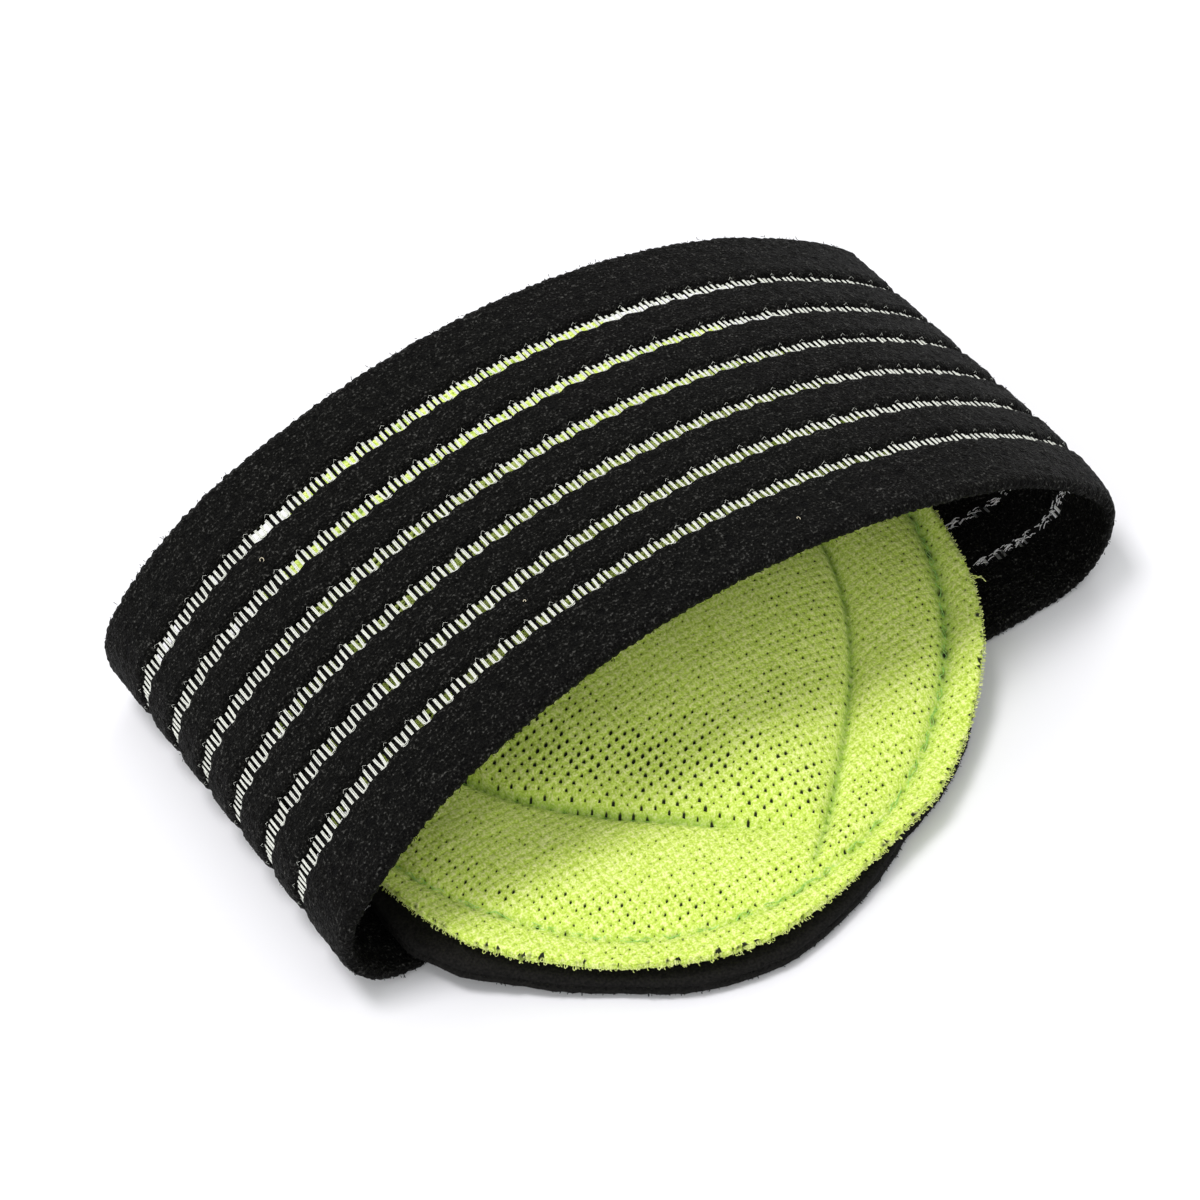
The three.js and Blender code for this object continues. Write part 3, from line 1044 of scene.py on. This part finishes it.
def green_mesh():
    """Polyester spacer mesh: a bright yellow-green yarn with painted highlights on its crests and
    painted shade along its seams. Its holes, needle pits and nicks are near black: in the holes partly
    the black backing showing through and partly painted shade, and in the pits and nicks painted shade."""
    values = {"Roughness": 0.75, "Specular_IOR_Level": 0.25, "Sheen_Weight": 0.1}
    material, shader = new_material("green_spacer_mesh", **values)
    fibres = add_noise(material, 0.25, 4.0)
    crest, seam, hole = (
        add_node(material, "Attribute", {"attribute_name": name}).outputs["Fac"]
        for name in ("crest", "seam", "hole")
    )
    # The crests are lifted to paler tones: painted highlight.
    lift = add_math(material, "MULTIPLY_ADD", crest, 0.14, fibres)
    yarn = add_tones(material, lift, [(0.30, "#9dba34"), (0.54, "#c6e056"), (0.78, "#f3faa8")])
    # Painted shade along the seam and outer line grooves.
    seam_shade = add_math(material, "MULTIPLY", add_math(material, "POWER", seam, 2.5), 0.60)
    # Holes, needle pits and nicks go near black: in the holes partly the black backing showing through
    # and partly painted shade, and in the pits and nicks painted shade.
    depth = add_node(material, "MapRange", {"From Min": 0.06, "From Max": 0.30}, Value=hole)
    colour = yarn
    for share, dark in ((seam_shade, "#74a034"), (depth.outputs[0], "#1a200b")):
        mixed = add_node(material, "Mix", {"data_type": "RGBA"}, Factor=share)
        link(colour, mixed.inputs[6])
        mixed.inputs[7].default_value = linear(dark)
        colour = mixed.outputs[2]
    link(colour, shader.inputs["Base Color"])
    add_bump(material, shader, fibres, 0.9, 0.16)
    return material


cover = finish_piece("mesh_cover", knit_cover(), green_mesh())
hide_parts("cushion_cover")

# Cover stitches
# Polyester thread sews the pad in along the seam, and a looser, paler pair of threads runs along
# the outer line.
SEAM_THREAD_RADIUS = 0.08 * MM
SEAM_STITCH = 2.6 * MM
SEAM_STITCH_GAP = 0.6 * MM
SEAM_LIFT = 0.02 * MM
OUTER_THREAD_SHARE = 0.42
# Spans in mm, and in radians round the outer line
OUTER_STITCH = {"wander": (-0.25, 0.35), "lift": (0.02, 0.12), "turn": (0.05, 0.09), "gap": (0.0, 0.03)}


def lay_stitch(curve, xs, ys, lift, thickness=1.0):
    """One stitch through points in plan, on the cover's top."""
    heights, _ = cover_height(np.array(xs), np.array(ys))
    heights = heights + lift * np.array([-1.0] + [1.0] * (len(xs) - 2) + [-1.0])
    add_thread(curve, list(zip(xs, ys, heights)), thickness)


def dome_plan(side, along):
    """A point on the dome's seam, on its right side for 1 or its left for -1."""
    across = side * DOME_HALF_WIDTH * (1 - abs(along / DOME_HALF_LENGTH) ** DOME_FULLNESS)
    x = across * math.cos(DOME_TURN) + along * math.sin(DOME_TURN)
    return x + DOME_MIDDLE_X, -across * math.sin(DOME_TURN) + along * math.cos(DOME_TURN)


def oval_plan(oval, angle, inside=0.0):
    """A point on an oval's outline, or some way inside it, in a direction from its middle."""
    x, y = math.cos(angle), math.sin(angle)
    share = float(oval_share(oval["middle_x"] + x, y, oval))
    reach = 1 / share - inside
    return oval["middle_x"] + reach * x, reach * y


def sew_dome(curve):
    """A row of stitches along each side of the dome, nearly from tip to tip."""
    for side in (-1, 1):
        along = -side * DOME_HALF_LENGTH
        while side * along < DOME_HALF_LENGTH - SEAM_STITCH:
            ends = [along + side * SEAM_STITCH * share for share in (0, 0.3, 0.7, 1)]
            xs, ys = zip(*[dome_plan(side, spot) for spot in ends])
            lay_stitch(curve, xs, ys, SEAM_LIFT)
            along += side * (SEAM_STITCH + SEAM_STITCH_GAP)


def sew_outer_line(curve, chance):
    """Pairs of slack threads that wander about the outer line."""
    angle = 0.0
    while angle < 2 * math.pi:
        turn = chance.uniform(*OUTER_STITCH["turn"])
        for _ in range(2):
            wander = [some(chance, OUTER_STITCH["wander"]) for _ in range(5)]
            spots = [oval_plan(OUTER_LINE, angle + turn * i / 4, w) for i, w in enumerate(wander)]
            lift = some(chance, OUTER_STITCH["lift"])
            lay_stitch(curve, *zip(*spots), lift, OUTER_THREAD_SHARE)
        angle += turn + chance.uniform(*OUTER_STITCH["gap"])


def sewing_thread(name, dark, light):
    """Spun polyester sewing thread: soft, with a lighter and a darker ply."""
    return mottled(name, 0.5, [(0.35, dark), (0.65, light)], Roughness=0.6)


dome_thread = sewing_thread("green_thread", "#6f9c38", "#8fbf48")
finish_piece("dome_stitches", mesh_of_threads(SEAM_THREAD_RADIUS, sew_dome), dome_thread)
outer_thread = sewing_thread("pale_green_thread", "#8acb58", "#b9e886")
outer_line = mesh_of_threads(SEAM_THREAD_RADIUS, sew_outer_line, random.Random(31))
finish_piece("outer_stitches", outer_line, outer_thread)

# Cover's raw edge
# The cut leaves short loops and ends of the green yarn standing out all round the rim.
RAW_YARN_RADIUS = 0.045 * MM
RAW_LOOPS = 1600
WHOLE_SHARE = 0.55
RAW_ROOT = 0.2 * MM
# Spans in mm
RAW_LOOP = {"below": (0.05, 0.9), "half": (0.04, 0.15), "reach": (0.10, 0.36), "tilt": (-0.15, 0.25)}
# A few threads hang out at one place on the right: degrees from the right-hand side, and mm
LOOSE_ENDS = [
    {"angle_deg": -33.0, "reach": 1.7, "aside": -0.5},
    {"angle_deg": -33.4, "reach": 1.3, "aside": 0.6},
    {"angle_deg": -32.7, "reach": 1.0, "aside": -0.1},
]


def rim_plan(angle, inside=0.0):
    """A point on the cover's cut rim, or some way inside it."""
    past = float(cut_past_oval(math.cos(angle), math.sin(angle), RIM_CUT))
    return oval_plan(RIM, angle, inside - past)


def outward_and_aside(x, y):
    """The level directions away from the cushion's middle and across that."""
    outward = Vector((x, y, 0)).normalized()
    return outward, Vector((-outward.y, outward.x, 0))


def fray_rim(curve, chance):
    """Cut ends and, for a little over half of them, whole loops that stick out of the rim."""
    angles = [2 * math.pi * (i + chance.random()) / RAW_LOOPS for i in range(RAW_LOOPS)]
    middles = np.array([rim_plan(angle) for angle in angles])
    heights, _ = cover_height(middles[:, 0], middles[:, 1])
    for (x, y), z in zip(middles, heights):
        middle = Vector((x, y, z - some(chance, RAW_LOOP["below"])))
        outward, aside = outward_and_aside(x, y)
        half = some(chance, RAW_LOOP["half"])
        reach = some(chance, RAW_LOOP["reach"])
        tilt = Vector((0, 0, some(chance, RAW_LOOP["tilt"])))
        points = [middle - aside * half - outward * RAW_ROOT]
        points.append(middle - aside * half + outward * 0.6 * reach + tilt * 0.5)
        points.append(middle + outward * reach + tilt)
        if chance.random() < WHOLE_SHARE:
            points.append(middle + aside * half + outward * 0.6 * reach + tilt * 0.5)
            points.append(middle + aside * half - outward * RAW_ROOT)
        add_thread(curve, points, chance.uniform(0.6, 1.1))
    for end in LOOSE_ENDS:
        x, y = rim_plan(math.radians(end["angle_deg"]), 0.3 * MM)
        height = float(cover_height(np.array([x]), np.array([y]))[0][0])
        outward, across = outward_and_aside(x, y)
        aside = across * end["aside"] * MM
        root = Vector((x, y, height))
        reach = outward * end["reach"] * MM
        curl = Vector((0, 0, 0.3 * MM))
        points = [root, root + reach * 0.4 + curl, root + reach * 0.8 + aside * 0.5 + curl]
        points.append(root + reach + aside)
        add_thread(curve, points, 1.2)


def green_yarn_ends():
    """The cover's own yarn, cut: paler where it splays."""
    return mottled("green_yarn_ends", 0.8, [(0.3, "#bccb5c"), (0.7, "#eaf3a8")], Roughness=0.8)


fray = mesh_of_threads(RAW_YARN_RADIUS, fray_rim, random.Random(47))
finish_piece("cover_fray", fray, green_yarn_ends())

# Cushion backing
# A black brushed layer under the green mesh, with a soft round edge. It is cut unevenly: it shows
# past the cover at the front and the front left, and hides under it at the sides.
BACKING_SEGMENTS = 360
# How far it reaches outside the cover's oval in mm, by direction in degrees from the right
BACKING_CUT = [
    (-175, -0.7), (-162, 1.0), (-150, 4.0), (-143, 3.7), (-136, 1.9), (-128, 0.9),
    (-124, 0.7), (-115, 1.4), (-104, 1.3), (-94, -0.1), (-80, -1.4), (-70, -0.4),
    (-62, 0.2), (-44, 0.3), (-20, -1.8), (20, -0.7),
]
FLEECE_FIBRES = 3600
NAP_LENGTH = (0.12, 0.32)
RAGGED_LUMPS = 90
# Rings from the middle of the underside, out round the edge, to the middle of the top: how many mm
# inside the edge, and the share of the thickness below it
FLAT_RINGS = [30.0, 20.0, 14.0, 9.0, 5.0, 2.5]
EDGE_RINGS = [
    {"inside": 0.9, "height": 0.02},
    {"inside": 0.3, "height": 0.12},
    {"inside": 0.0, "height": 0.32},
    {"inside": 0.02, "height": 0.50},
    {"inside": 0.30, "height": 0.62},
    {"inside": 0.08, "height": 0.74},
    {"inside": 0.22, "height": 0.90},
    {"inside": 0.9, "height": 0.98},
]
BACKING_RINGS = [{"inside": inside, "height": 0.0} for inside in FLAT_RINGS]
BACKING_RINGS += EDGE_RINGS
BACKING_RINGS += [{"inside": inside, "height": 1.0} for inside in reversed(FLAT_RINGS)]


def backing_point(angle, inside, height):
    """A point of the backing's skin, whose cut edge is ragged, most of all low down."""
    x, y = oval_plan(RIM, angle, inside * MM)
    shown = float(cut_past_oval(math.cos(angle), math.sin(angle), BACKING_CUT))
    ragged = noise.noise(Vector((math.cos(angle), math.sin(angle), 0.3 * height)) * RAGGED_LUMPS)
    shown += (0.22 - 0.16 * height) * MM * ragged
    x, y = x + shown * math.cos(angle), y + shown * math.sin(angle)
    return x, y, float(underside_height(y)) + height * BACKING_THICKNESS


def layer_backing():
    """The closed layer, drawn out ring by ring."""
    bm = bmesh.new()
    made = bmesh.ops.create_circle(bm, segments=BACKING_SEGMENTS, radius=1)["verts"]
    angles = {vert: math.atan2(vert.co.y, vert.co.x) for vert in made}
    edges = list(bm.edges)
    bmesh.ops.contextual_create(bm, geom=edges)
    for vert in made:
        vert.co = backing_point(angles[vert], **BACKING_RINGS[0])
    for ring in BACKING_RINGS[1:]:
        verts, edges = draw_on(bm, edges)
        for vert in verts:
            vert.co = backing_point(math.atan2(vert.co.y, vert.co.x), **ring)
    bmesh.ops.contextual_create(bm, geom=edges)
    bmesh.ops.recalc_face_normals(bm, faces=bm.faces)
    return mesh_from(bm)


def black_fleece():
    """Brushed black polyester: charcoal and matt, with a soft short nap."""
    material, shader = new_material("black_fleece", Roughness=0.8, Specular_IOR_Level=0.1)
    nap = add_noise(material, 0.25, 3.0)
    tones = add_tones(material, nap, [(0.35, "#090908"), (0.75, "#1e1d1b")])
    link(tones, shader.inputs["Base Color"])
    add_bump(material, shader, nap, 0.5, 0.1)
    return material


backing = finish_piece("fleece_backing", layer_backing(), black_fleece())
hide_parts("cushion_backing")


def brush_backing(curve, chance):
    """The nap that stands out of the backing's cut edge, most of it low down."""
    for _ in range(FLEECE_FIBRES):
        angle = chance.uniform(0, 2 * math.pi)
        low = chance.random() ** 2
        root = Vector(backing_point(angle, 0.15, 0.25 + 0.6 * low))
        direction = Vector((math.cos(angle), math.sin(angle), 0.3)) + 0.7 * scatter(chance)
        length = some(chance, NAP_LENGTH)
        add_fibre(curve, root, direction, length, chance, chance.uniform(1.0, 1.8))


nap = mesh_of_threads(FIBRE_RADIUS, brush_backing, random.Random(59))
finish_piece("backing_nap", nap, black_yarn_and_shade)
